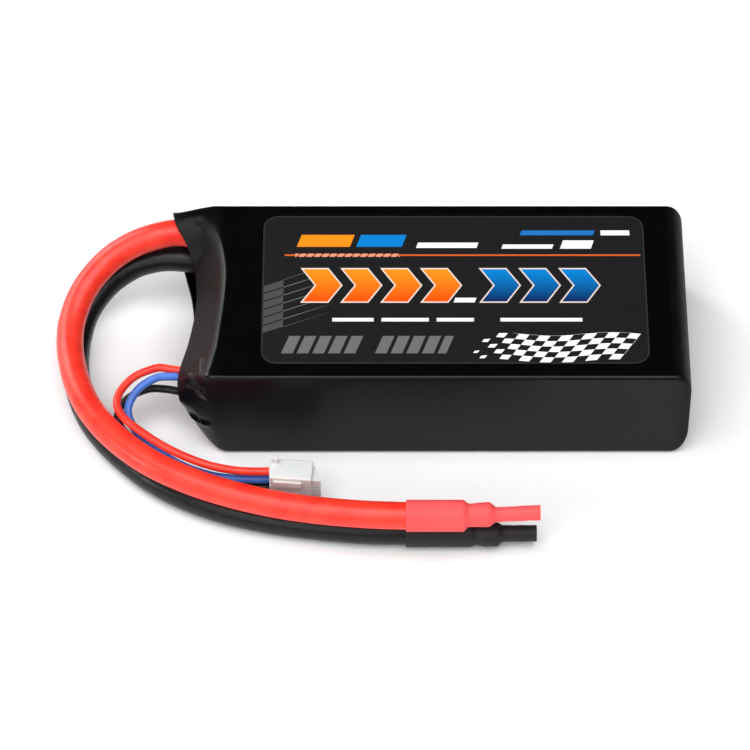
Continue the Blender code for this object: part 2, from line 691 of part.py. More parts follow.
def make_power_end(colour):
    """Bare strands and the sleeve over them, on the lead's straight last stretch."""
    end = Vector(POWER_ROUTES[colour][-1])
    start_x = end.x + GAP
    radius = CONDUCTOR_DIAMETER / 2
    tip = CONDUCTOR_LENGTH - CONDUCTOR_EDGE
    conductor = turned(
        colour + "_conductor",
        ((0.0, CONDUCTOR_LENGTH), (radius - CONDUCTOR_EDGE, CONDUCTOR_LENGTH),
         (radius, tip), (radius, 0.0), (0.0, 0.0)),
        "tinned_copper", SOLID_SIDES,
    )
    profile = sleeve_profile(*SLEEVE_SIZES[colour])
    sleeve = turned(colour + "_end_sleeve", profile, colour + "_shrink", SLEEVE_SIDES, True)
    for piece, x in ((conductor, start_x), (sleeve, SLEEVE_START_X)):
        piece.rotation_euler = (0.0, math.pi / 2, 0.0)
        piece.location = Vector((x, end.y, end.z)) * MM
        smooth(piece)


def make_balance_wire(colour):
    points = smooth_route(BALANCE_ROUTES[colour], WIRE_DIAMETER * 2)
    tube(colour + "_balance_wire", points, WIRE_DIAMETER, colour + "_silicone", 2)


# ---------------------------------------------------------------- plug

def plug_anchor():
    """Empty at the foot of the plug's wire end; its X runs towards the mating end."""
    anchor = bpy.data.objects.new("plug_anchor", None)
    bpy.data.collections[COLLECTION].objects.link(anchor)
    anchor.location = PLUG_POSITION * MM
    anchor.rotation_euler = (0.0, 0.0, PLUG_YAW)
    return anchor


def scallop(name, z):
    """Cylinder across the plug that notches its wire end round one wire."""
    bm = bmesh.new()
    turn = Matrix.Rotation(math.pi / 2, 4, "X")
    x = (PLUG_SCALLOP_DEPTH - PLUG_SCALLOP_RADIUS) * MM
    bmesh.ops.create_cone(
        bm, cap_ends=True, segments=SOLID_SIDES, radius1=PLUG_SCALLOP_RADIUS * MM,
        radius2=PLUG_SCALLOP_RADIUS * MM, depth=2 * PLUG_THICKNESS * MM,
        matrix=Matrix.Translation((x, 0.0, z * MM)) @ turn,
    )
    return add_object(name, mesh_from(name, bm), None, CUTTERS)


def make_plug():
    """Housing that stands on its narrow side, wires entering one above the other."""
    anchor = plug_anchor()
    half = PLUG_THICKNESS / 2
    foot = PLUG_EAR_HEIGHT
    top = foot + PLUG_WIDTH
    middle = foot + PLUG_WIDTH / 2
    full_length = PLUG_BODY_LENGTH + PLUG_NOSE_LENGTH
    housing = box(
        "balance_plug_housing", (0.0, -half, foot), (PLUG_BODY_LENGTH, half, top),
        "plug_nylon", rounding=0.3, segments=2,
    )
    additions = []
    for name, z in (("lower", 0.0), ("upper", top - 0.5)):
        additions.append(helper_box(
            "plug_ear_" + name,
            (0.2, half - PLUG_EAR_THICKNESS, z),
            (0.2 + PLUG_EAR_LENGTH, half - 0.2, z + PLUG_EAR_HEIGHT + 0.5),
        ))
    for name, z in (
        ("lower", foot + PLUG_RIB_INSET), ("upper", top - PLUG_RIB_INSET - PLUG_RIB_WIDTH),
    ):
        additions.append(helper_box(
            "plug_rib_" + name,
            (PLUG_RIB_START, -half - PLUG_RIB_HEIGHT, z),
            (PLUG_RIB_START + PLUG_RIB_LENGTH, 0.5 - half, z + PLUG_RIB_WIDTH),
        ))
    centres = [middle + PLUG_PITCH * step for step in (-1, 0, 1)]
    for index, z in enumerate(centres):
        additions.append(helper_box(
            f"plug_nose_{index}",
            (PLUG_BODY_LENGTH - 0.5, PLUG_CAVITY_OFFSET + 1.25 - PLUG_NOSE_THICKNESS,
             z - PLUG_NOSE_WIDTH / 2 - 0.15),
            (full_length, PLUG_CAVITY_OFFSET + 1.25, z + PLUG_NOSE_WIDTH / 2 + 0.15),
        ))
    join(housing, additions)
    cavities = []
    for index, z in enumerate(centres):
        half_cavity = PLUG_CAVITY / 2
        cavities.append(helper_box(
            f"plug_cavity_{index}",
            (-1.0, PLUG_CAVITY_OFFSET - half_cavity, z - half_cavity),
            (full_length + 1.0, PLUG_CAVITY_OFFSET + half_cavity, z + half_cavity),
        ))
        cavities.append(scallop(f"plug_scallop_{index}", z))
    cut(housing, cavities)
    housing.parent = anchor
    for addition in additions + cavities:
        addition.parent = anchor
    for colour, z in zip(("black", "blue", "red"), centres):
        reach = PLUG_CAVITY / 2 - GAP
        contact = box(
            colour + "_crimp_contact",
            (1.2, PLUG_CAVITY_OFFSET - reach, z - reach),
            (1.2 + CONTACT_LENGTH, PLUG_CAVITY_OFFSET + reach, z + reach),
            "contact_tin", rounding=0.15, segments=1,
        )
        contact.parent = anchor


def main():
    clear_scene()
    collection(COLLECTION)
    collection(CUTTERS)
    make_wrap()
    make_label()
    make_stack()
    make_front()
    make_joints()
    for colour in POWER_ROUTES:
        make_power_lead(colour)
        make_power_end(colour)
    for colour in BALANCE_ROUTES:
        make_balance_wire(colour)
    make_plug()


main()
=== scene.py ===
import math

import bmesh
import bpy
from mathutils import Matrix, Vector, noise


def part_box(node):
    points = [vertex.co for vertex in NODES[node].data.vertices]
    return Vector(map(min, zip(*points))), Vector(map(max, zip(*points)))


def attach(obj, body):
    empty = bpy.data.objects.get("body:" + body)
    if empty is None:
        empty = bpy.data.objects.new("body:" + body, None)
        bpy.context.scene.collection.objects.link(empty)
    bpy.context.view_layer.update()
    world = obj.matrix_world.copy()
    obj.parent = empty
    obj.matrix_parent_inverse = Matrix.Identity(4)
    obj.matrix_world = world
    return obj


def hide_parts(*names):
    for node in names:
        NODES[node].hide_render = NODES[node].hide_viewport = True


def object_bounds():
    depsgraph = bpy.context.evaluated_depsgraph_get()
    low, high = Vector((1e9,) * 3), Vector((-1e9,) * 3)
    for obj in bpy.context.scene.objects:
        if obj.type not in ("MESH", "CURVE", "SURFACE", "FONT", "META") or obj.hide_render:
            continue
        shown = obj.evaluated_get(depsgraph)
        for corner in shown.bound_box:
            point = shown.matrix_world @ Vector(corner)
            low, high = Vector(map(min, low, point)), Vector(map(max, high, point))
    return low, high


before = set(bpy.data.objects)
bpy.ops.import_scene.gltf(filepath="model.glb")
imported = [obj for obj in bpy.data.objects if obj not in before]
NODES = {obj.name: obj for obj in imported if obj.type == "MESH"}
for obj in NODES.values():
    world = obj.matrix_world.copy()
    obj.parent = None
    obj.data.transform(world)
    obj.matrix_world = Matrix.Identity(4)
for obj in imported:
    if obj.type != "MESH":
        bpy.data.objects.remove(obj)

cad_low, cad_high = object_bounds()
MM = 0.001
PACK = "pack"

WRAP_LOW, WRAP_HIGH = (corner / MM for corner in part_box("shrink_wrap"))
HALF_WIDTH = WRAP_HIGH.y
PACK_HEIGHT = WRAP_HIGH.z
REAR_X = WRAP_HIGH.x
SPOUT_REACH = 16.0
CELL_FRONT_X = WRAP_LOW.x + SPOUT_REACH
WRAP_WALL = 0.4


def add_object(name, data):
    made = bpy.data.objects.new(name, data)
    bpy.context.scene.collection.objects.link(made)
    return made


# ---------------------------------------------------------------- camera

CAMERA_ELEVATION = 0.87811   # radians
CAMERA_DISTANCE = 0.888
CAMERA_TARGET = Vector((-0.0103, -0.00268, 0.0))
LENS = 208.7                 # mm, as is the sensor's width
SENSOR_WIDTH = 36.0
CLIP_START = 0.01
CLIP_END = 20.0


def make_camera():
    data = bpy.data.cameras.new("camera")
    data.lens = LENS
    data.sensor_width = SENSOR_WIDTH
    data.clip_start = CLIP_START
    data.clip_end = CLIP_END
    camera = add_object("camera", data)
    back = Vector((0.0, -math.cos(CAMERA_ELEVATION), math.sin(CAMERA_ELEVATION)))
    camera.location = CAMERA_TARGET + back * CAMERA_DISTANCE
    camera.rotation_euler = (math.pi / 2 - CAMERA_ELEVATION, 0.0, 0.0)
    bpy.context.scene.camera = camera


make_camera()


# ---------------------------------------------------------------- cords

# Routes in metres, from the terminal board outwards; the CAD tubes follow the same points.
POWER_ROUTES = {
    "red": (
        (-0.0451, 0.0186, 0.0182), (-0.05, 0.0191, 0.0192), (-0.0546, 0.0185, 0.0189),
        (-0.06, 0.0174, 0.0172), (-0.065, 0.015, 0.0148), (-0.0694, 0.0104, 0.012),
        (-0.0717, 0.0046, 0.0099), (-0.0722, -0.001, 0.0089), (-0.0715, -0.0068, 0.0086),
        (-0.0699, -0.013, 0.0086), (-0.067, -0.0194, 0.0086), (-0.0623, -0.0258, 0.0086),
        (-0.0555, -0.032, 0.0086), (-0.048, -0.0365, 0.0086), (-0.04, -0.0399, 0.0086),
        (-0.031, -0.0426, 0.0086), (-0.022, -0.0445, 0.0088), (-0.0125, -0.046, 0.0094),
        (-0.005, -0.0466, 0.0097), (0.0067, -0.0466, 0.0097),
    ),
    "black": (
        (-0.0451, 0.0172, 0.0121), (-0.0496, 0.0177, 0.0128), (-0.0546, 0.0181, 0.0123),
        (-0.0602, 0.0175, 0.0105), (-0.0656, 0.0146, 0.0079), (-0.0694, 0.0096, 0.0054),
        (-0.071, 0.0036, 0.0037), (-0.0713, -0.002, 0.0029), (-0.0706, -0.0075, 0.0028),
        (-0.0689, -0.0135, 0.0028), (-0.0659, -0.0196, 0.0028), (-0.0613, -0.0256, 0.0028),
        (-0.0549, -0.0318, 0.0028), (-0.0478, -0.0364, 0.0028), (-0.04, -0.0398, 0.0028),
        (-0.031, -0.0423, 0.0028), (-0.022, -0.0439, 0.0029), (-0.0125, -0.0451, 0.0031),
        (-0.005, -0.0454, 0.0032), (0.0083, -0.0454, 0.0032),
    ),
}
BALANCE_ROUTES = {
    "red": (
        (-0.044, -0.0112, 0.0122), (-0.0465, -0.0114, 0.0124), (-0.0492, -0.0118, 0.0124),
        (-0.0517, -0.0113, 0.0123), (-0.0542, -0.011, 0.0122), (-0.0585, -0.0128, 0.0117),
        (-0.0612, -0.016, 0.0112), (-0.0619, -0.0192, 0.0109), (-0.0607, -0.0222, 0.0107),
        (-0.0581, -0.0249, 0.0105), (-0.0537, -0.0285, 0.0103), (-0.0489, -0.0314, 0.0099),
        (-0.0434, -0.0334, 0.0091), (-0.0386, -0.0342, 0.0085), (-0.035, -0.0344, 0.0083),
        (-0.0313, -0.0344, 0.0083),
    ),
    "blue": (
        (-0.044, -0.0136, 0.0128), (-0.0465, -0.0138, 0.013), (-0.049, -0.0139, 0.0129),
        (-0.0517, -0.0134, 0.0124), (-0.0544, -0.013, 0.0114), (-0.0579, -0.0147, 0.0099),
        (-0.0598, -0.018, 0.0081), (-0.059, -0.0212, 0.0069), (-0.057, -0.024, 0.0063),
        (-0.0534, -0.0275, 0.0059), (-0.0487, -0.0309, 0.0058), (-0.0432, -0.0333, 0.0058),
        (-0.0386, -0.0342, 0.0058), (-0.035, -0.0344, 0.0058), (-0.0313, -0.0344, 0.0058),
    ),
    "black": (
        (-0.044, -0.016, 0.0112), (-0.0465, -0.0161, 0.011), (-0.049, -0.0158, 0.0106),
        (-0.0524, -0.0144, 0.0097), (-0.0556, -0.0135, 0.0087), (-0.0587, -0.0142, 0.0078),
        (-0.0611, -0.0162, 0.0071), (-0.0619, -0.0188, 0.0065), (-0.0612, -0.0212, 0.0057),
        (-0.0593, -0.0229, 0.0049), (-0.0572, -0.0244, 0.0042), (-0.0536, -0.0271, 0.0035),
        (-0.0487, -0.0305, 0.0033), (-0.0432, -0.0331, 0.0033), (-0.0386, -0.0342, 0.0033),
        (-0.035, -0.0344, 0.0033), (-0.0313, -0.0344, 0.0033),
    ),
}
LEAD_DIAMETER = 0.0055
WIRE_DIAMETER = 0.00165
LEAD_STEPS = 8               # stretches of tube between two points of a route
WIRE_STEPS = 6
LEAD_ROUNDNESS = 8           # bevel resolution of the tubes
WIRE_ROUNDNESS = 5


def spline_value(before, start, end, after, part):
    """Catmull-Rom value a part of the way from start to end."""
    return 0.5 * (
        2 * start + (end - before) * part
        + (2 * before - 5 * start + 4 * end - after) * part ** 2
        + (3 * start - before - 3 * end + after) * part ** 3
    )


def smooth_route(points, steps):
    """Smooth curve through the route's own points."""
    knots = [Vector(point) for point in points]
    knots = [2 * knots[0] - knots[1]] + knots + [2 * knots[-1] - knots[-2]]
    fine = []
    for index in range(1, len(knots) - 2):
        for step in range(steps):
            fine.append(spline_value(*knots[index - 1:index + 3], step / steps))
    fine.append(knots[-2])
    return fine


def tube(name, points, diameter, resolution):
    curve = bpy.data.curves.new(name, "CURVE")
    curve.dimensions = "3D"
    curve.bevel_depth = 1.0      # times each point's own radius
    curve.bevel_resolution = resolution
    curve.use_fill_caps = True
    spline = curve.splines.new("POLY")
    spline.points.add(len(points) - 1)
    for point, place in zip(spline.points, points):
        point.co = (*place, 1.0)
        point.radius = diameter / 2
    spline.use_smooth = True
    return add_object(name, curve)


def make_cords():
    """Power leads and balance wires as tubes along their routes, in place of the CAD tubes."""
    leads = {}
    for colour, route in POWER_ROUTES.items():
        name = colour + "_lead_silicone"
        points = smooth_route(route[:-1], LEAD_STEPS) + [Vector(route[-1])]
        leads[colour] = tube(name, points, LEAD_DIAMETER, LEAD_ROUNDNESS)
        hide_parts(colour + "_power_lead")
    wires = {}
    for colour, route in BALANCE_ROUTES.items():
        name = colour + "_wire_silicone"
        points = smooth_route(route, WIRE_STEPS)
        wires[colour] = tube(name, points, WIRE_DIAMETER, WIRE_ROUNDNESS)
        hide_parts(colour + "_balance_wire")
    for cord in (*leads.values(), *wires.values()):
        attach(cord, PACK)
    return leads, wires


leads, wires = make_cords()


# ---------------------------------------------------------------- material helpers

def srgb(red, green, blue):
    """Linear colour of a display colour given from 0 to 255."""
    linear = []
    for channel in (red, green, blue):
        value = channel / 255
        linear.append(value / 12.92 if value <= 0.04045 else ((value + 0.055) / 1.055) ** 2.4)
    return (*linear, 1.0)


class Field:
    """Number that varies over a surface: arithmetic on it adds Math nodes to its material."""

    def __init__(self, tree, socket):
        self.tree = tree
        self.socket = socket

    def math(self, operation, *others):
        node = self.tree.nodes.new("ShaderNodeMath")
        node.operation = operation
        for socket, value in zip(node.inputs, (self, *others)):
            if isinstance(value, Field):
                self.tree.links.new(value.socket, socket)
            else:
                socket.default_value = value
        return Field(self.tree, node.outputs[0])

    def __add__(self, other):
        return self.math("ADD", other)

    def __sub__(self, other):
        return self.math("SUBTRACT", other)

    def __mul__(self, other):
        return self.math("MULTIPLY", other)

    def to(self, low, high, start=0.0, end=1.0):
        """The same field with low to high mapped to start to end, and limited there."""
        node = self.tree.nodes.new("ShaderNodeMapRange")
        self.tree.links.new(self.socket, node.inputs["Value"])
        for name, value in (
            ("From Min", low), ("From Max", high), ("To Min", start), ("To Max", end),
        ):
            node.inputs[name].default_value = value
        return Field(self.tree, node.outputs["Result"])


class Surface:
    """Material under construction: its shader, its position fields and its layers."""

    def __init__(self, name, roughness, metallic=0.0, specular=0.5, coat=0.0):
        self.material = bpy.data.materials.new(name)
        self.material.use_nodes = True
        self.tree = self.material.node_tree
        self.shader = self.tree.nodes["Principled BSDF"]
        self.shader.inputs["Roughness"].default_value = roughness
        self.shader.inputs["Metallic"].default_value = metallic
        self.shader.inputs["Specular IOR Level"].default_value = specular
        self.shader.inputs["Coat Weight"].default_value = coat
        self.shader.inputs["Coat Roughness"].default_value = 0.15
        self.place = self.tree.nodes.new("ShaderNodeTexCoord").outputs["Object"]
        self.height = None

    def axes(self):
        """X, Y and Z fields in millimetres."""
        split = self.tree.nodes.new("ShaderNodeSeparateXYZ")
        self.tree.links.new(self.place, split.inputs[0])
        return [Field(self.tree, socket) * (1 / MM) for socket in split.outputs]

    def noise(self, per_metre, detail=2.0, stretch=(1.0, 1.0, 1.0)):
        """Noise field about 0.5 with features 1 / per_metre across."""
        mapping = self.tree.nodes.new("ShaderNodeMapping")
        mapping.inputs["Scale"].default_value = stretch
        self.tree.links.new(self.place, mapping.inputs["Vector"])
        node = self.tree.nodes.new("ShaderNodeTexNoise")
        node.inputs["Scale"].default_value = per_metre
        node.inputs["Detail"].default_value = detail
        self.tree.links.new(mapping.outputs[0], node.inputs["Vector"])
        return Field(self.tree, node.outputs["Fac"])

    def mix(self, first, second, share):
        """Colour between two colours or colour sockets, by a field."""
        node = self.tree.nodes.new("ShaderNodeMix")
        node.data_type = "RGBA"
        self.tree.links.new(share.socket, node.inputs["Factor"])
        for name, value in (("A", first), ("B", second)):
            socket = next(s for s in node.inputs if s.name == name and s.type == "RGBA")
            if isinstance(value, tuple):
                socket.default_value = value
            else:
                self.tree.links.new(value, socket)
        return next(s for s in node.outputs if s.type == "RGBA")

    def colour(self, value):
        if isinstance(value, tuple):
            self.shader.inputs["Base Color"].default_value = value
        else:
            self.tree.links.new(value, self.shader.inputs["Base Color"])

    def roughness(self, field):
        self.tree.links.new(field.socket, self.shader.inputs["Roughness"])

    def bump(self, field, depth, strength=1.0):
        """Relief on the surface; field 0 to 1 is depth metres."""
        node = self.tree.nodes.new("ShaderNodeBump")
        node.inputs["Strength"].default_value = strength
        node.inputs["Distance"].default_value = depth
        self.tree.links.new(field.socket, node.inputs["Height"])
        if self.height:
            self.tree.links.new(self.height, node.inputs["Normal"])
        self.height = node.outputs["Normal"]
        self.tree.links.new(self.height, self.shader.inputs["Normal"])


def shade(colour, factor):
    return (*(min(1.0, channel * factor) for channel in colour[:3]), 1.0)


def mottled(name, colour, roughness, *, metallic=0.0, specular=0.5, coat=0.0, scale=400.0,
            vary=0.12, grain=2500.0, depth=0.00002, stretch=(1.0, 1.0, 1.0)):
    """Plain stuff with uneven colour and finish at one scale, and fine grain at another."""
    surface = Surface(name, roughness, metallic, specular, coat)
    patches = surface.noise(scale, 3.0, stretch)
    surface.colour(surface.mix(
        shade(colour, 1 - vary), shade(colour, 1 + vary), patches.to(0.3, 0.7),
    ))
    surface.roughness(patches.to(0.3, 0.7, roughness * 0.85, min(1.0, roughness * 1.15)))
    surface.bump(surface.noise(grain, 2.0, stretch), depth)
    return surface.material


# ---------------------------------------------------------------- label print

LABEL_LOW, LABEL_HIGH = (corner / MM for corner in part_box("top_label"))
LABEL_CORNER = 3.0
LABEL_BORDER = 0.3
SOFT_EDGE = 0.07             # width of a printed edge's fade

CHARCOAL = srgb(33, 33, 34)
CHARCOAL_DARK = srgb(15, 15, 16)
GREY = srgb(72, 72, 73)
BORDER = srgb(44, 44, 45)
PALE_GREY = srgb(104, 104, 105)
WHITE = srgb(250, 250, 250)
ORANGE_TOP = srgb(255, 140, 22)
ORANGE_FOOT = srgb(255, 78, 0)
ORANGE_LINE = srgb(214, 98, 40)
DASH_PINK = srgb(226, 150, 120)
BLUE_TOP = srgb(0, 124, 200)
BLUE_FOOT = srgb(0, 40, 92)
BLUE_BAR = srgb(30, 110, 185)

# Plain bars: from X, to X, from Y, to Y, lean, colour
BARS = (
    (-28.5, 43.2, 8.75, 9.15, 0.0, ORANGE_LINE),
    (-25.6, -14.9, 11.2, 14.4, 0.3, ORANGE_TOP),
    (-13.6, -4.4, 11.2, 14.4, 0.3, BLUE_TOP),
    (-1.8, 10.4, 10.9, 12.3, 0.3, WHITE),
    (15.4, 25.6, 10.7, 11.8, 0.3, WHITE),
    (27.4, 33.6, 10.7, 12.9, 0.3, WHITE),
    (19.2, 34.0, 14.3, 15.6, 0.3, BLUE_BAR),
    (35.4, 41.2, 14.3, 15.6, 0.0, WHITE),
    (-18.8, -10.6, -8.6, -7.7, 0.0, WHITE),
    (-9.0, 0.4, -8.6, -7.7, 0.0, WHITE),
    (2.0, 9.4, -8.6, -7.7, 0.0, WHITE),
    (14.7, 31.0, -8.6, -7.7, 0.0, WHITE),
    (5.6, 9.8, -3.6, -2.4, 0.3, WHITE),
)


def inside(distance):
    """1 where a signed distance is below zero, with a soft printed edge."""
    return distance.to(-SOFT_EDGE, SOFT_EDGE, 1.0, 0.0)


def bar_distance(x, y, low_x, high_x, low_y, high_y, lean=0.0):
    middle_y = (low_y + high_y) / 2
    across = (x - y * lean) if lean else x
    middle_x = (low_x + high_x) / 2 - middle_y * lean
    side = (across - middle_x).math("ABSOLUTE") - (high_x - low_x) / 2
    end = (y - middle_y).math("ABSOLUTE") - (high_y - low_y) / 2
    return side.math("MAXIMUM", end)


def repeat(field, pitch):
    """Position within each repeat, about its middle."""
    return (field * (1 / pitch)).math("FRACT") * pitch - pitch / 2


def chevrons(x, y, start, end, low_y, high_y, pitch, width, lean):
    """Row of arrow-shaped bands that point to +X."""
    middle = (low_y + high_y) / 2
    rise = (y - middle).math("ABSOLUTE")
    along = x + rise * lean - start
    band = repeat(along, pitch).math("ABSOLUTE") - width / 2
    limits = (along - (end - start) / 2).math("ABSOLUTE") - (end - start) / 2
    height = rise - (high_y - low_y) / 2
    return band.math("MAXIMUM", limits).math("MAXIMUM", height)


CHEQUER_START = 7.0          # X and Y of the chequered band's lower left corner
CHEQUER_FOOT = -18.9
CHEQUER_ROWS = 5
CHEQUER_COLUMNS = 14.0
CHEQUER_HEIGHT = 1.4         # of one square
CHEQUER_LENGTH = 2.2
CHEQUER_LEAN = 0.67
CHEQUER_FADE = 0.05          # of its outer edges, in squares
WAVE_LENGTH = 24
WAVE_HEIGHT = 0.45


def chequer(x, y):
    """Waving chequered band that breaks up into small squares towards -X."""
    right = x - CHEQUER_START
    wave = (right * (2 * math.pi / WAVE_LENGTH)).math("SINE") * WAVE_HEIGHT
    up = (y - CHEQUER_FOOT - wave) * (1 / CHEQUER_HEIGHT)
    along = (right - (y - CHEQUER_FOOT) * CHEQUER_LEAN) * (1 / CHEQUER_LENGTH)
    odd = (up.math("FLOOR") + along.math("FLOOR")).math("PINGPONG", 1.0)
    half_size = right.to(0.0, 11.0, 0.10, 0.52)
    across = (along.math("FRACT") - 0.5).math("ABSOLUTE")
    high = (up.math("FRACT") - 0.5).math("ABSOLUTE")
    square = (half_size - across.math("MAXIMUM", high)).to(0.0, 0.03)
    rows = up.to(0.0, CHEQUER_FADE)
    rows = rows * up.to(CHEQUER_ROWS, CHEQUER_ROWS + CHEQUER_FADE, 1.0, 0.0)
    columns = along.to(0.0, CHEQUER_FADE)
    columns = columns * along.to(CHEQUER_COLUMNS, CHEQUER_COLUMNS + CHEQUER_FADE, 1.0, 0.0)
    return odd * square * rows * columns


WEAVE_PITCH = 0.62           # of the fine diagonal weave under the print
BAND_SLOPE = 0.42            # rise of the speed bands along X
BAND_PITCH = 2.1
BAND_SHIFT = 11.9
BLOCK_LEAN = 0.35
BLOCK_PITCH = 3.1
DASH_LEAN = 0.6
DASH_PITCH = 1.55
OUTLINE = 0.32               # width of the chevrons' pale outline
OUTLINE_PAINT = srgb(235, 215, 205)


def label_material():
    surface = Surface("label_film", 0.5, specular=0.12)
    x, y, _ = surface.axes()
    mix = surface.mix
    diagonal = (x + y) * (2 * math.pi / WEAVE_PITCH)
    other = (x - y) * (2 * math.pi / WEAVE_PITCH)
    weave = diagonal.math("SINE") * other.math("SINE")
    colour = mix(CHARCOAL_DARK, CHARCOAL, weave.to(-0.4, 0.6))
    # slanted speed bands at the left
    slope = y - (x - LABEL_LOW.x) * BAND_SLOPE
    bands = repeat(slope + BAND_SHIFT, BAND_PITCH).math("ABSOLUTE").to(0.86, 0.94, 1.0, 0.0)
    zone = slope.to(-BAND_SHIFT, 0.05 - BAND_SHIFT) * slope.to(0.68, 0.72, 1.0, 0.0)
    solid = x.to(-28.7, -28.6, 1.0, 0.0)
    between = slope + (BAND_SHIFT - BAND_PITCH / 2)
    lines = repeat(between, BAND_PITCH).math("ABSOLUTE").to(0.07, 0.14, 1.0, 0.0)
    thin = x.to(-28.7, -28.6) * x.to(-26.0, -18.5, 1.0, 0.0)
    colour = mix(colour, GREY, bands * zone * solid)
    colour = mix(colour, PALE_GREY, lines * zone * thin)
    # grey slanted blocks at the lower left
    for start, end in ((-28.2, -13.0), (-9.6, 4.6)):
        blocks = repeat(x - y * BLOCK_LEAN - start + 20.0, BLOCK_PITCH).math("ABSOLUTE") - 1.15
        edge = bar_distance(x, y, start, end, -16.9, -12.4, BLOCK_LEAN)
        colour = mix(colour, PALE_GREY, inside(blocks.math("MAXIMUM", edge)))
    # chevron rows with a pale outline, orange then blue
    for start, end, top, foot in (
        (-23.6, 8.4, ORANGE_TOP, ORANGE_FOOT), (12.2, 36.4, BLUE_TOP, BLUE_FOOT),
    ):
        shape = chevrons(x, y, start, end, -3.7, 5.5, 8.0, 5.6, 0.62)
        gradient = mix(foot, top, y.to(-3.0, 4.6))
        colour = mix(colour, OUTLINE_PAINT, inside(shape))
        colour = mix(colour, gradient, inside(shape + OUTLINE))
    for low_x, high_x, low_y, high_y, lean, paint in BARS:
        shape = bar_distance(x, y, low_x, high_x, low_y, high_y, lean)
        colour = mix(colour, paint, inside(shape))
    dashes = repeat(x - y * DASH_LEAN + 26.4, DASH_PITCH).math("ABSOLUTE") - 0.56
    band = bar_distance(x, y, -26.4, -5.3, 8.5, 9.35)
    colour = mix(colour, DASH_PINK, inside(dashes.math("MAXIMUM", band)))
    colour = mix(colour, WHITE, chequer(x, y))
    # thin border just inside the edge
    middle = (LABEL_LOW + LABEL_HIGH) / 2
    half = (LABEL_HIGH - LABEL_LOW) / 2
    side = (x - middle.x).math("ABSOLUTE") - (half.x - LABEL_CORNER)
    end = (y - middle.y).math("ABSOLUTE") - (half.y - LABEL_CORNER)
    outward = (side.math("MAXIMUM", 0.0) * side.math("MAXIMUM", 0.0)
               + end.math("MAXIMUM", 0.0) * end.math("MAXIMUM", 0.0)).math("SQRT")
    edge = outward.math("MAXIMUM", side.math("MAXIMUM", end)) - LABEL_CORNER
    colour = mix(colour, BORDER, edge.to(-LABEL_BORDER - 0.06, -LABEL_BORDER + 0.06))
    surface.colour(colour)
    surface.roughness(surface.noise(600.0).to(0.3, 0.7, 0.44, 0.56))
    surface.bump(weave.to(-1.0, 1.0), 0.000012)
    return surface.material


# ---------------------------------------------------------------- mesh helpers

def join_rings(bm, rings, closed=False):
    """Skin between rings of points; closed joins the last ring to the first."""
    following = rings[1:] + ([rings[0]] if closed else [])
    for ring, other in zip(rings, following):
        count = len(ring)
        for index in range(count):
            beside = (index + 1) % count
            bm.faces.new((ring[index], ring[beside], other[beside], other[index]))


def mesh_object(name, bm):
    bmesh.ops.recalc_face_normals(bm, faces=bm.faces)
    mesh = bpy.data.meshes.new(name)
    bm.to_mesh(mesh)
    bm.free()
    return add_object(name, mesh)


# ---------------------------------------------------------------- wrap

# Lip of the mouth, once round from the top middle towards +Y.  Each row: run round the body as
# a fraction, reach from the cells' front in mm, Y and Z as fractions of half width and height.
LIP = (
    (0.000, 10.3, 0.000, 0.664), (0.043, 10.0, 0.217, 0.681), (0.086, 10.7, 0.478, 0.736),
    (0.115, 12.2, 0.643, 0.862), (0.144, 14.2, 0.774, 0.962), (0.1655, 15.0, 0.896, 0.978),
    (0.194, 14.8, 0.978, 0.900), (0.250, 14.1, 0.978, 0.680), (0.302, 13.9, 0.930, 0.480),
    (0.3345, 13.6, 0.840, 0.405), (0.374, 12.6, 0.652, 0.390), (0.432, 11.2, 0.370, 0.383),
    (0.500, 10.6, 0.000, 0.374), (0.576, 11.2, -0.348, 0.366), (0.633, 12.5, -0.591, 0.362),
    (0.6655, 12.6, -0.722, 0.374), (0.705, 12.7, -0.800, 0.434), (0.750, 13.0, -0.826, 0.506),
    (0.791, 13.3, -0.778, 0.585), (0.8345, 13.3, -0.678, 0.624), (0.878, 12.7, -0.530, 0.634),
    (0.935, 11.4, -0.304, 0.647),
)
# Crease where the flat top meets the taper: Y as a fraction of the half width, and setback
CREASE = ((-1.0, 7.3), (-0.63, 5.7), (0.22, 4.4), (1.0, 7.0))
CREASE_BOTTOM = 4.1
CREASE_ROUND = 0.9           # how far the crease's rounding reaches either way
WRAP_EDGE = 0.8
REAR_ROUND = 3.4             # length over which the folded end rounds off
REAR_INSETS = (0.6, 4.6, 6.4)    # how much it loses at its sides, top and bottom
REAR_LIP = 3.5               # how far the fold runs in over the end
REAR_CORNER_GAIN = 0.4       # corner radius gained per mm that the folded end draws in
TAPER_BEND = 0.5             # how much later the bottom of the taper draws in than the top
TAPER_LENGTH = 9.0           # length of the taper that the puckers are laid out on
LIP_SHARE = 0.4              # of a pucker's height, left at the lip itself
ACROSS_STEPS = 120
SIDE_STEPS = 64
CORNER_STEPS = 6
FOLD_STEPS = 10
CREASE_STEPS = 6
BODY_STEPS = 40
TAPER_STEPS = 30

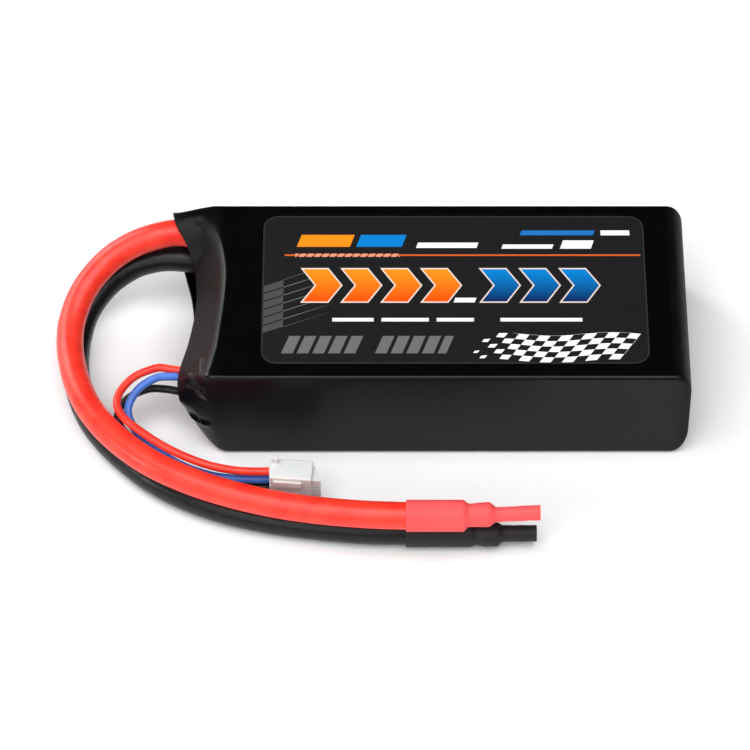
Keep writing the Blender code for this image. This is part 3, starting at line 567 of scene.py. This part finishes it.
# Puckers of the film: from run, from along, to run, to along, width mm, height mm
PUCKERS = (
    (0.874, 0.29, 0.837, 0.14, 0.42, 0.30),
    (0.869, 0.21, 0.836, 0.08, 0.38, -0.22),
    (0.864, 0.13, 0.833, 0.00, 0.42, 0.26),
    (0.840, 0.52, 0.798, 0.26, 0.62, 0.50),
    (0.828, 0.34, 0.796, 0.15, 0.45, -0.34),
    (0.800, 0.24, 0.790, 0.14, 0.45, 0.30),
    (0.818, 0.62, 0.785, 0.40, 0.70, -0.26),
    (0.690, 0.82, 0.708, 0.52, 0.62, 0.46),
    (0.706, 0.54, 0.723, 0.25, 0.60, 0.40),
    (0.708, 0.80, 0.726, 0.48, 0.70, -0.16),
    (0.150, 0.15, 0.152, 1.00, 2.00, 0.35),
    (0.150, 0.42, 0.125, 0.32, 0.90, -0.22),
    (0.210, 0.10, 0.205, 0.70, 0.80, -0.20),
    (0.310, 0.10, 0.315, 0.60, 0.80, 0.20),
    (0.640, 0.10, 0.630, 0.70, 0.90, 0.18),
)

# Finely wrinkled patches: middle's run and along, radius mm, height mm
WRINKLED = (
    (0.815, 0.36, 3.4, 0.30),
    (0.718, 0.50, 2.6, 0.14),
    (0.145, 0.45, 3.0, 0.08),
)


def straight(first, second, steps):
    """Points between two ends, without the ends."""
    return [
        tuple(a + (b - a) * step / steps for a, b in zip(first, second))
        for step in range(1, steps)
    ]


def corner_arc(half_y, half_z, radius, sign_y, sign_z):
    arc = []
    for step in range(CORNER_STEPS + 1):
        angle = math.pi / 2 * step / CORNER_STEPS
        along = (math.sin(angle), math.cos(angle))
        if sign_y * sign_z < 0:
            along = (math.cos(angle), math.sin(angle))
        arc.append((
            sign_y * (half_y - radius + radius * along[0]),
            sign_z * (half_z - radius + radius * along[1]),
        ))
    return arc


def body_outline(inset_y=0.0, inset_top=0.0, inset_bottom=0.0):
    """Body section as (run, y, z), once round from the top middle towards +Y."""
    half_y = HALF_WIDTH - inset_y
    half_z = (PACK_HEIGHT - inset_top - inset_bottom) / 2
    middle_z = inset_bottom + half_z
    radius = WRAP_EDGE + inset_y * REAR_CORNER_GAIN
    half_steps = ACROSS_STEPS // 2
    places = [(half_y - radius) * step / half_steps for step in range(half_steps)]
    outline = [(y, half_z) for y in places]
    outline += corner_arc(half_y, half_z, radius, 1, 1)
    outline += straight((half_y, half_z - radius), (half_y, radius - half_z), SIDE_STEPS)
    outline += corner_arc(half_y, half_z, radius, 1, -1)
    outline += straight((half_y - radius, -half_z), (radius - half_y, -half_z), ACROSS_STEPS)
    outline += corner_arc(half_y, half_z, radius, -1, -1)
    outline += straight((-half_y, radius - half_z), (-half_y, half_z - radius), SIDE_STEPS)
    outline += corner_arc(half_y, half_z, radius, -1, 1)
    outline += [(-y, half_z) for y in reversed(places[1:])]
    around = 0.0
    runs = []
    for first, second in zip(outline, outline[1:] + outline[:1]):
        runs.append(around)
        around += math.dist(first, second)
    return [(run / around, y, z + middle_z) for run, (y, z) in zip(runs, outline)]


def lip_point(run):
    """Point of the mouth's lip that belongs to a run round the body."""
    count = len(LIP)
    index = max(row for row in range(count) if LIP[row][0] <= run + 1e-9)
    start = LIP[index][0]
    end = LIP[index + 1][0] if index + 1 < count else 1.0
    part = (run - start) / (end - start)
    rows = [LIP[(index + offset) % count] for offset in (-1, 0, 1, 2)]
    reach, y, z = (spline_value(*(row[item] for row in rows), part) for item in (1, 2, 3))
    return Vector((CELL_FRONT_X - min(reach, SPOUT_REACH), y * HALF_WIDTH, z * PACK_HEIGHT))


def crease_setback(y, z):
    """Setback of the crease: curved across the top, plain below."""
    across = y / HALF_WIDTH
    rows = [CREASE[0]] + list(CREASE) + [CREASE[-1]]
    index = max(row for row in range(1, 4) if rows[row][0] <= across or row == 1)
    part = (across - rows[index][0]) / (rows[index + 1][0] - rows[index][0])
    part = min(max(part, 0.0), 1.0)
    top = spline_value(*(row[1] for row in rows[index - 1:index + 3]), part)
    return CREASE_BOTTOM + (top - CREASE_BOTTOM) * z / PACK_HEIGHT


def taper_point(start, lip, z, along):
    """Point a part of the way from the crease to the lip."""
    inward = along ** (1 + TAPER_BEND - TAPER_BEND * z / PACK_HEIGHT)
    return Vector((
        start.x + (lip.x - start.x) * along,
        start.y + (lip.y - start.y) * inward,
        start.z + (lip.z - start.z) * inward,
    ))


def wrap_column(run, y, z):
    """Points of the wrap from just before its crease to its lip, with how far along each is."""
    crease = Vector((CELL_FRONT_X - crease_setback(y, z), y, z))
    lip = lip_point(run)
    share = CREASE_ROUND / (crease.x - lip.x)
    before = crease + Vector((CREASE_ROUND, 0.0, 0.0))
    after = taper_point(crease, lip, z, share)
    points = []
    for step in range(CREASE_STEPS):
        part = step / CREASE_STEPS
        place = before * (1 - part) ** 2 + crease * 2 * part * (1 - part) + after * part ** 2
        points.append((place, 0.0))
    for step in range(TAPER_STEPS + 1):
        along = share + (1 - share) * step / TAPER_STEPS
        points.append((taper_point(crease, lip, z, along), along))
    return points


def pucker_height(run, along):
    """Height of the film's puckers at a place on the taper, in mm."""
    total = 0.0
    around = 2 * (2 * HALF_WIDTH + PACK_HEIGHT)
    place = Vector((run * around, along * TAPER_LENGTH))
    for run_a, along_a, run_b, along_b, width, height in PUCKERS:
        first = Vector((run_a * around, along_a * TAPER_LENGTH))
        second = Vector((run_b * around, along_b * TAPER_LENGTH))
        line = second - first
        part = min(max((place - first).dot(line) / line.length_squared, 0.0), 1.0)
        distance = (place - first - line * part).length
        if distance < 4 * width:
            fade = math.sin(math.pi * (0.12 + 0.76 * part))
            total += height * fade * math.exp(-(distance / width) ** 2)
    for middle_run, middle_along, radius, height in WRINKLED:
        away = (place - Vector((middle_run * around, middle_along * TAPER_LENGTH))).length
        if away < 2 * radius:
            spot = Vector((place.x * 0.36, place.y * 0.26, middle_run * 50))
            crest = 1 - 3 * abs(noise.noise(spot))
            rise = min(along / 0.15, 1.0)
            total += height * crest * rise * math.exp(-(away / radius) ** 2)
    return total


def wrap_rings(columns, outline):
    """Sections from the opening in the folded end to the lip, and where the taper starts."""
    rings = []
    opening = body_outline(*(inset + REAR_LIP for inset in REAR_INSETS))
    rings.append([(REAR_X, y, z) for _, y, z in opening])
    for step in range(FOLD_STEPS + 1):
        angle = math.pi / 2 * step / FOLD_STEPS
        inset = 1 - math.sin(angle)
        x = REAR_X - REAR_ROUND * (1 - math.cos(angle))
        section = body_outline(*(share * inset for share in REAR_INSETS))
        rings.append([(x, y, z) for _, y, z in section])
    fold_x = REAR_X - REAR_ROUND
    for step in range(1, BODY_STEPS):
        part = step / BODY_STEPS
        rings.append([
            (fold_x + (column[0][0].x - fold_x) * part, y, z)
            for column, (_, y, z) in zip(columns, outline)
        ])
    taper_start = len(rings)
    for level in range(len(columns[0])):
        rings.append([column[level][0] for column in columns])
    return rings, taper_start


def wrap_mesh():
    outline = body_outline()
    columns = [wrap_column(*row) for row in outline]
    rings, taper_start = wrap_rings(columns, outline)
    bm = bmesh.new()
    layers = [[bm.verts.new(Vector(place) * MM) for place in ring] for ring in rings]
    join_rings(bm, layers)
    bmesh.ops.recalc_face_normals(bm, faces=bm.faces)
    bm.normal_update()
    middle = Vector((0.0, 0.0, PACK_HEIGHT / 2 * MM))
    sample = layers[FOLD_STEPS + 5][0]
    facing = 1.0 if sample.normal.dot(sample.co - middle) > 0 else -1.0
    moves = []
    for level, ring in enumerate(layers[taper_start:]):
        for index, vertex in enumerate(ring):
            height = pucker_height(outline[index][0], columns[index][level][1])
            if level == len(columns[0]) - 1:
                height *= LIP_SHARE
            moves.append((vertex, vertex.normal * facing * height * MM))
    for vertex, move in moves:
        vertex.co += move
    if facing < 0:
        bmesh.ops.reverse_faces(bm, faces=bm.faces)
    mesh = bpy.data.meshes.new("wrap_film")
    bm.to_mesh(mesh)
    bm.free()
    return mesh


def make_wrap():
    wrap = add_object("wrap_film", wrap_mesh())
    shell = wrap.modifiers.new("film", "SOLIDIFY")
    shell.thickness = WRAP_WALL * MM
    shell.offset = -1.0
    shell.use_even_offset = False
    wrap.data.shade_smooth()
    wrap.data.materials.append(wrap_material())
    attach(wrap, PACK)
    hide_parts("shrink_wrap")
    return wrap


def wrap_material():
    surface = Surface("wrap_gloss", 0.2, specular=0.2)
    soft = surface.noise(160.0, 3.0)
    surface.colour(surface.mix(
        (0.0005, 0.0005, 0.0006, 1.0), (0.0010, 0.0010, 0.0011, 1.0), soft.to(0.3, 0.7),
    ))
    x, y, z = surface.axes()
    taper = x.to(WRAP_LOW.x + 10.0, WRAP_LOW.x + 12.0, 1.0, 0.0)
    spout = x.to(WRAP_LOW.x + 9.0, WRAP_LOW.x + 12.0, 1.0, 0.0) * y.to(-15.0, -11.0, 1.0, 0.0)
    folded = x.to(REAR_X - 4.0, REAR_X - 1.0)
    flat = z.to(PACK_HEIGHT - 0.3, PACK_HEIGHT - 0.1) * x.to(REAR_X - 4.0, REAR_X - 3.0, 1.0, 0.0)
    finish = soft.to(0.3, 0.7, 0.28, 0.35) + taper * 0.15 - spout * 0.16 - flat * 0.12
    surface.roughness(finish + folded * 0.25)
    surface.bump(surface.noise(90.0, 2.0), 0.00003, 0.4)
    surface.bump(surface.noise(1800.0, 2.0), 0.000004, 0.6)
    return surface.material


# ---------------------------------------------------------------- end sleeves and strands

SLEEVE_WALL = 0.3
SLEEVE_STEPS = 70
SLEEVE_SIDES = 48
SLEEVE_RIM = 0.12            # length over which the start's outer edge is eased
SLEEVE_EASE = 0.08
DENT_HEIGHT = 0.12
DENT_DEPTH = 0.05            # how far the dented part sinks in on the whole
STRAND_STEPS = 24
STRAND_COUNT = 14
STRAND_SIDES = 112
STRAND_TWIST = 1.1           # radians over the bared length
STRAND_GROOVE = 0.14         # depth of the grooves between strands, as a share of the radius
SLEEVE_LENGTHS = {"red": 26.3, "black": 25.8}
# Outer shape from the start: distance, radius, then how far the middle wanders in Y and in Z
SLEEVE_SHAPES = {
    "red": (
        (0.0, 3.15, 0.0, 0.0), (11.2, 3.15, 0.0, 0.0), (12.3, 2.34, 0.0, 0.2),
        (14.4, 2.45, 0.0, 0.4), (16.2, 2.45, 0.0, 0.4), (17.8, 1.52, 0.0, 0.46),
        (26.3, 1.56, 0.0, 1.0),
    ),
    "black": (
        (0.0, 3.15, 0.0, 0.0), (12.8, 3.15, 0.0, 0.0), (13.7, 2.38, -0.4, 0.0),
        (15.5, 2.45, -0.75, 0.0), (18.0, 2.45, -0.75, 0.0), (19.1, 1.72, -0.55, 0.0),
        (25.8, 1.68, -0.5, 0.0),
    ),
}


def sleeve_shape(colour, height):
    """Outer radius and the middle's Y and Z wander at a distance from the sleeve's start."""
    rows = SLEEVE_SHAPES[colour]
    for (start, *first), (end, *second) in zip(rows, rows[1:]):
        if height <= end:
            part = max(0.0, (height - start) / (end - start))
            part = part * part * (3 - 2 * part)
            return [a + (b - a) * part for a, b in zip(first, second)]
    return list(rows[-1][1:])


def sleeve_start(colour):
    """Start of a sleeve's middle line, in metres."""
    low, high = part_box(colour + "_end_sleeve")
    return Vector((low.x, (low.y + high.y) / 2, (low.z + high.z) / 2))


def make_sleeve(colour, material):
    """Shrunk tube, slightly dented past the lead's end."""
    length = SLEEVE_LENGTHS[colour]
    shoulder = SLEEVE_SHAPES[colour][1][0]
    start = sleeve_start(colour)
    heights = [0.0, SLEEVE_RIM]
    heights += [length * step / SLEEVE_STEPS for step in range(1, SLEEVE_STEPS + 1)]
    bm = bmesh.new()
    rings = []
    for inset in (0.0, SLEEVE_WALL):
        course = heights if inset == 0.0 else reversed(heights)
        for height in course:
            radius, aside, lift = sleeve_shape(colour, height)
            past = min(max((height - shoulder) / 2.0, 0.0), 1.0)
            ease = SLEEVE_EASE if height == 0.0 and inset == 0.0 else 0.0
            ring = []
            for step in range(SLEEVE_SIDES):
                angle = 2 * math.pi * step / SLEEVE_SIDES
                spot = Vector((height * 0.55, math.cos(angle), math.sin(angle)))
                dent = past * (DENT_HEIGHT * noise.noise(spot) - DENT_DEPTH)
                reach = radius - inset - ease + dent
                ring.append(bm.verts.new(start + MM * Vector((
                    height, aside + reach * math.cos(angle), lift + reach * math.sin(angle),
                ))))
            rings.append(ring)
    join_rings(bm, rings, closed=True)
    sleeve = mesh_object(colour + "_sleeve_tube", bm)
    sleeve.data.shade_smooth()
    sleeve.data.set_sharp_from_angle(angle=math.radians(60))
    sleeve.data.materials.append(material)
    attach(sleeve, colour + "_sleeve")
    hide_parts(colour + "_end_sleeve")
    colour + "_shrink"
    return sleeve


def make_strands(colour, material):
    """Twisted bare strands as one lobed bundle, on the sleeve's wandering middle line."""
    low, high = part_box(colour + "_conductor")
    start = sleeve_start(colour)
    radius = (high.z - low.z) / 2 / MM
    bm = bmesh.new()
    rings = []
    for step in range(STRAND_STEPS + 1):
        part = step / STRAND_STEPS
        twist = part * STRAND_TWIST
        end = 1 - 0.10 * max(0.0, (part - 0.94) / 0.06)
        x = low.x + part * (high.x - low.x)
        _, aside, lift = sleeve_shape(colour, (x - start.x) / MM)
        ring = []
        for index in range(STRAND_SIDES):
            angle = 2 * math.pi * index / STRAND_SIDES
            lobe = abs(math.sin((angle - twist) * STRAND_COUNT / 2)) ** 0.7
            reach = radius * (1 - STRAND_GROOVE + STRAND_GROOVE * lobe) * end
            ring.append(bm.verts.new((
                x,
                start.y + (aside + reach * math.cos(angle)) * MM,
                start.z + (lift + reach * math.sin(angle)) * MM,
            )))
        rings.append(ring)
    join_rings(bm, rings)
    bm.faces.new(rings[0])
    bm.faces.new(rings[-1])
    strands = mesh_object(colour + "_strands", bm)
    strands.data.shade_smooth()
    strands.data.set_sharp_from_angle(angle=math.radians(50))
    strands.data.materials.append(material)
    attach(strands, PACK)
    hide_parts(colour + "_conductor")
    return strands


# ---------------------------------------------------------------- balance plug

PLUG_POSITION = Vector((-0.031, -0.0351, 0.0))
PLUG_YAW = math.radians(-4.8)
PLUG_BODY_LENGTH = 8.4
PLUG_THICKNESS = 5.0
NOSE_LENGTH = 1.4
NOSE_REACH = 0.6             # added to the nose at its front
NOSE_SLANT = 0.36            # and lost from it per mm towards the back
PLUG_EDGE = 0.12
PLUG_EDGE_ANGLE = math.radians(40)


def make_plug():
    """The CAD housing with its nose cut back towards the rear side and its edges softened."""
    turn = Matrix.Rotation(PLUG_YAW, 4, "Z")
    place = Matrix.Translation(PLUG_POSITION) @ turn
    bm = bmesh.new()
    bm.from_mesh(NODES["balance_plug_housing"].data)
    bmesh.ops.transform(bm, matrix=NODES["balance_plug_housing"].matrix_world, verts=bm.verts)
    bmesh.ops.transform(bm, matrix=place.inverted(), verts=bm.verts)
    for vertex in bm.verts:
        past = vertex.co.x / MM - PLUG_BODY_LENGTH
        if past > 0.1:
            behind = vertex.co.y / MM + PLUG_THICKNESS / 2
            vertex.co.x += (NOSE_REACH - NOSE_SLANT * behind) * past / NOSE_LENGTH * MM
    bmesh.ops.dissolve_limit(bm, angle_limit=math.radians(1), verts=bm.verts, edges=bm.edges)
    bmesh.ops.transform(bm, matrix=place, verts=bm.verts)
    plug = mesh_object("plug_shell", bm)
    rounding = plug.modifiers.new("rounding", "BEVEL")
    rounding.width = PLUG_EDGE * MM
    rounding.segments = 2
    rounding.limit_method = "ANGLE"
    rounding.angle_limit = PLUG_EDGE_ANGLE
    rounding.harden_normals = False
    plug.data.materials.append(nylon)
    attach(plug, PACK)
    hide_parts("balance_plug_housing")
    return plug


# ---------------------------------------------------------------- finishes

def silicone(name, colour, deep, specular=0.45):
    """Soft rubber with slightly uneven colour and a dusty sheen."""
    surface = Surface(name, 0.34, specular=specular)
    soft = surface.noise(300.0, 3.0)
    surface.colour(surface.mix(deep, colour, soft.to(0.25, 0.6)))
    surface.roughness(surface.noise(900.0).to(0.3, 0.7, 0.28, 0.42))
    surface.bump(surface.noise(2600.0, 2.0), 0.000006)
    return surface.material


def shrink_tube(name, colour, deep):
    """Matte heat-shrink tubing with faint lengthwise streaks."""
    surface = Surface(name, 0.6, specular=0.35)
    streaks = surface.noise(500.0, 3.0, (0.15, 1.0, 1.0))
    surface.colour(surface.mix(deep, colour, streaks.to(0.3, 0.65)))
    surface.roughness(streaks.to(0.3, 0.7, 0.5, 0.68))
    surface.bump(surface.noise(3200.0, 2.0), 0.00001)
    surface.bump(surface.noise(500.0, 2.0), 0.00003)
    return surface.material


def board_mask():
    """Green solder mask with copper tracks showing faintly through it and a few bare pads."""
    surface = Surface("solder_mask", 0.32, coat=0.4)
    _, y, z = surface.axes()
    wander = surface.noise(220.0, 1.0).to(0.3, 0.7, -0.12, 0.12)
    track = repeat(z + wander, 2.1).math("ABSOLUTE").to(0.30, 0.36, 1.0, 0.0)
    gaps = repeat(y + wander, 5.3).math("ABSOLUTE").to(0.25, 0.30)
    pad = repeat(y, 5.3).math("ABSOLUTE").math("MAXIMUM", repeat(z, 5.6).math("ABSOLUTE"))
    pad = pad.to(0.55, 0.60, 1.0, 0.0)
    colour = surface.mix(
        (0.008, 0.055, 0.022, 1.0), (0.016, 0.10, 0.04, 1.0), surface.noise(900.0).to(0.3, 0.7),
    )
    colour = surface.mix(colour, (0.05, 0.20, 0.07, 1.0), track * gaps)
    surface.colour(surface.mix(colour, (0.55, 0.50, 0.42, 1.0), pad))
    surface.bump(track * gaps, 0.00004)
    surface.bump(surface.noise(2500.0), 0.00001)
    return surface.material


RED = srgb(255, 62, 44)
RED_DEEP = srgb(240, 40, 28)
silicones = {
    "red": silicone("red_rubber", RED, RED_DEEP),
    "black": silicone("black_rubber", srgb(18, 18, 19), srgb(13, 13, 14), 0.3),
    "blue": silicone("blue_rubber", srgb(74, 122, 214), srgb(62, 104, 196)),
}
sleeve_finishes = {
    "red": shrink_tube("red_tubing", srgb(255, 92, 92), srgb(250, 76, 78)),
    "black": shrink_tube("black_tubing", srgb(33, 33, 34), srgb(25, 25, 26)),
}
strand_finish = mottled(
    "tinned_strands", (0.72, 0.68, 0.62, 1.0), 0.32, metallic=1.0, scale=700.0, vary=0.2,
)
nylon = mottled("white_nylon", srgb(222, 222, 222), 0.42, scale=250.0, vary=0.03, depth=0.000012)
nylon_inputs = nylon.node_tree.nodes["Principled BSDF"].inputs
nylon_inputs["Subsurface Weight"].default_value = 0.35
nylon_inputs["Subsurface Scale"].default_value = 0.002
CAD_FINISHES = {
    "top_stiffener_board": mottled("glass_board", srgb(196, 188, 150), 0.5, scale=900.0),
    "bottom_stiffener_board": "glass_board",
    "upper_cell": mottled("pouch_laminate", (0.72, 0.73, 0.75, 1.0), 0.3, metallic=1.0,
                          scale=120.0, vary=0.08, grain=700.0, depth=0.00004),
    "lower_cell": "pouch_laminate",
    "cell_bonding_tape": mottled("foam_tape", srgb(236, 234, 224), 0.7, scale=1500.0),
    "upper_cell_positive_tab": mottled("aluminium_foil", (0.82, 0.82, 0.84, 1.0), 0.35,
                                       metallic=1.0, stretch=(1.0, 0.1, 1.0)),
    "lower_cell_positive_tab": "aluminium_foil",
    "upper_cell_negative_tab": mottled("nickel_strip", (0.66, 0.63, 0.58, 1.0), 0.3,
                                       metallic=1.0, stretch=(1.0, 0.1, 1.0)),
    "lower_cell_negative_tab": "nickel_strip",
    "series_link_strip": "nickel_strip",
    "terminal_board": board_mask(),
    "front_spacer_foam": mottled("black_foam", (0.02, 0.02, 0.021, 1.0), 0.95, scale=2200.0,
                                 vary=0.4, grain=1600.0, depth=0.0002),
    "rear_end_foam": "black_foam",
    "red_solder_joint": mottled("solder_metal", (0.66, 0.67, 0.69, 1.0), 0.26, metallic=1.0,
                                scale=900.0, vary=0.15),
    "black_solder_joint": "solder_metal",
    "red_balance_joint": "solder_metal",
    "blue_balance_joint": "solder_metal",
    "black_balance_joint": "solder_metal",
    "red_crimp_contact": mottled("crimp_tin", (0.76, 0.72, 0.64, 1.0), 0.3, metallic=1.0,
                                 scale=1200.0, vary=0.12),
    "blue_crimp_contact": "crimp_tin",
    "black_crimp_contact": "crimp_tin",
}


def paint_cad_nodes():
    """Finishes for the CAD pieces that stay as they are."""
    for name, finish in CAD_FINISHES.items():
        material = bpy.data.materials[finish] if isinstance(finish, str) else finish
        for slot in NODES[name].material_slots:
            slot.material = material
    for slot in NODES["top_label"].material_slots:
        slot.material = label_material()


def make_pieces():
    make_wrap()
    plug = make_plug()
    ends = {}
    for colour in POWER_ROUTES:
        sleeve = make_sleeve(colour, sleeve_finishes[colour])
        strands = make_strands(colour, strand_finish)
        ends[colour] = (sleeve, strands)
    for group in (leads, wires):
        for colour, cord in group.items():
            cord.data.materials.append(silicones[colour])
            colour + "_silicone"
    return ends, plug


def declare_cords():
    for colour, wire in wires.items():
        NODES[colour + "_crimp_contact"]


# ---------------------------------------------------------------- studio

FLOOR_HALF_SIZE = 3.0
FLOOR_GAP = 0.0002
# Soft lights aimed at the origin: name, place, width and height, watts
LIGHTS = (
    ("overhead", (0.0, -0.4, 1.3), (1.6, 1.2), 22.0),
    ("left_fill", (-1.05, 0.85, 0.45), (0.9, 0.7), 7.0),
    ("back_left", (-0.95, 0.75, 0.85), (0.5, 0.5), 4.0),
    ("left_key", (-1.1, -0.5, 0.42), (0.3, 0.3), 3.0),
    ("front_fill", (-0.5, -1.2, 0.7), (0.9, 0.7), 4.0),
)


def area_light(name, place, size, power):
    data = bpy.data.lights.new(name, "AREA")
    data.shape = "RECTANGLE"
    data.size, data.size_y = size
    data.energy = power
    light = add_object(name, data)
    light.location = place
    light.rotation_euler = (-Vector(place)).to_track_quat("-Z", "Y").to_euler()


def make_studio():
    bm = bmesh.new()
    bmesh.ops.create_grid(bm, x_segments=2, y_segments=2, size=FLOOR_HALF_SIZE)
    mesh = bpy.data.meshes.new("floor")
    bm.to_mesh(mesh)
    bm.free()
    floor = add_object("floor", mesh)
    floor.location = (0.0, 0.0, min(0.0, cad_low.z) - FLOOR_GAP)
    floor.data.materials.append(
        mottled("floor_paper", (0.97, 0.97, 0.97, 1.0), 0.9, specular=0.1, scale=30.0, vary=0.01)
    )
    for name, place, size, power in LIGHTS:
        area_light(name, place, size, power)
    world = bpy.data.worlds.new("studio")
    world.use_nodes = True
    background = world.node_tree.nodes["Background"]
    background.inputs["Color"].default_value = (0.9, 0.95, 1.0, 1.0)
    background.inputs["Strength"].default_value = 0.08
    bpy.context.scene.world = world
    bpy.context.scene.view_settings.view_transform = "Standard"


ends, plug = make_pieces()
paint_cad_nodes()
declare_cords()
make_studio()
bpy.context.view_layer.update()
